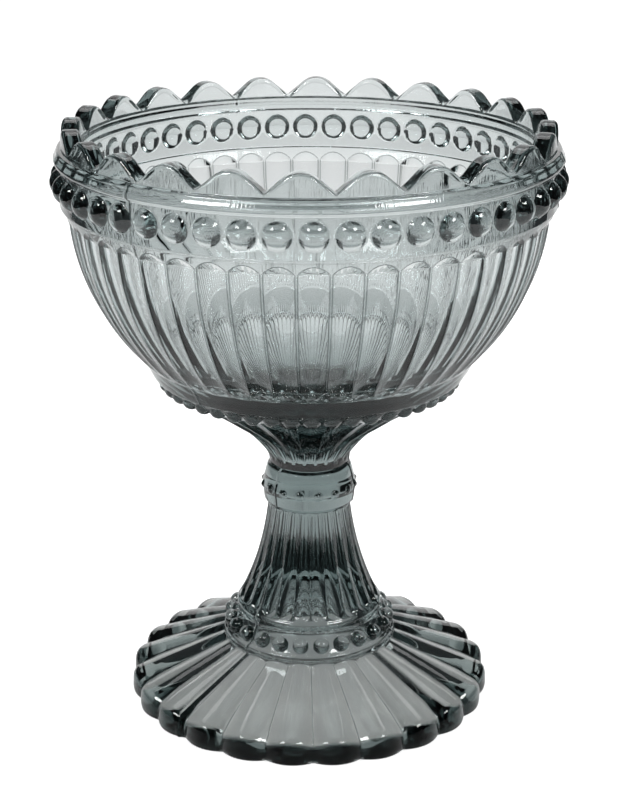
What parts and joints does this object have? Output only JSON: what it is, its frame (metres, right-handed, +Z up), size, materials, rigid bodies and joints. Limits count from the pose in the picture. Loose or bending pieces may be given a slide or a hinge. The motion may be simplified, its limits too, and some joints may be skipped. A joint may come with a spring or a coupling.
{
  "type": "footed glass bowl",
  "caption": "Footed pressed-glass bowl with a scalloped rim, bead bands, a fluted stem and a lobed foot, to hold fruit or other food.",
  "frame": {"origin": "centre of the face that the foot rests on", "axes": "+Z up along the bowl's axis, -Y towards the front of the picture, +X to its right"},
  "size_m": [0.1292, 0.1292, 0.155],
  "materials": {
    "bowl_glass": "pressed, smoky grey",
    "foot_glass": "pressed, smoky grey"
  },
  "bodies": {
    "root": {"bowl": "bowl_glass", "foot": "foot_glass"}
  },
  "joints": []
}
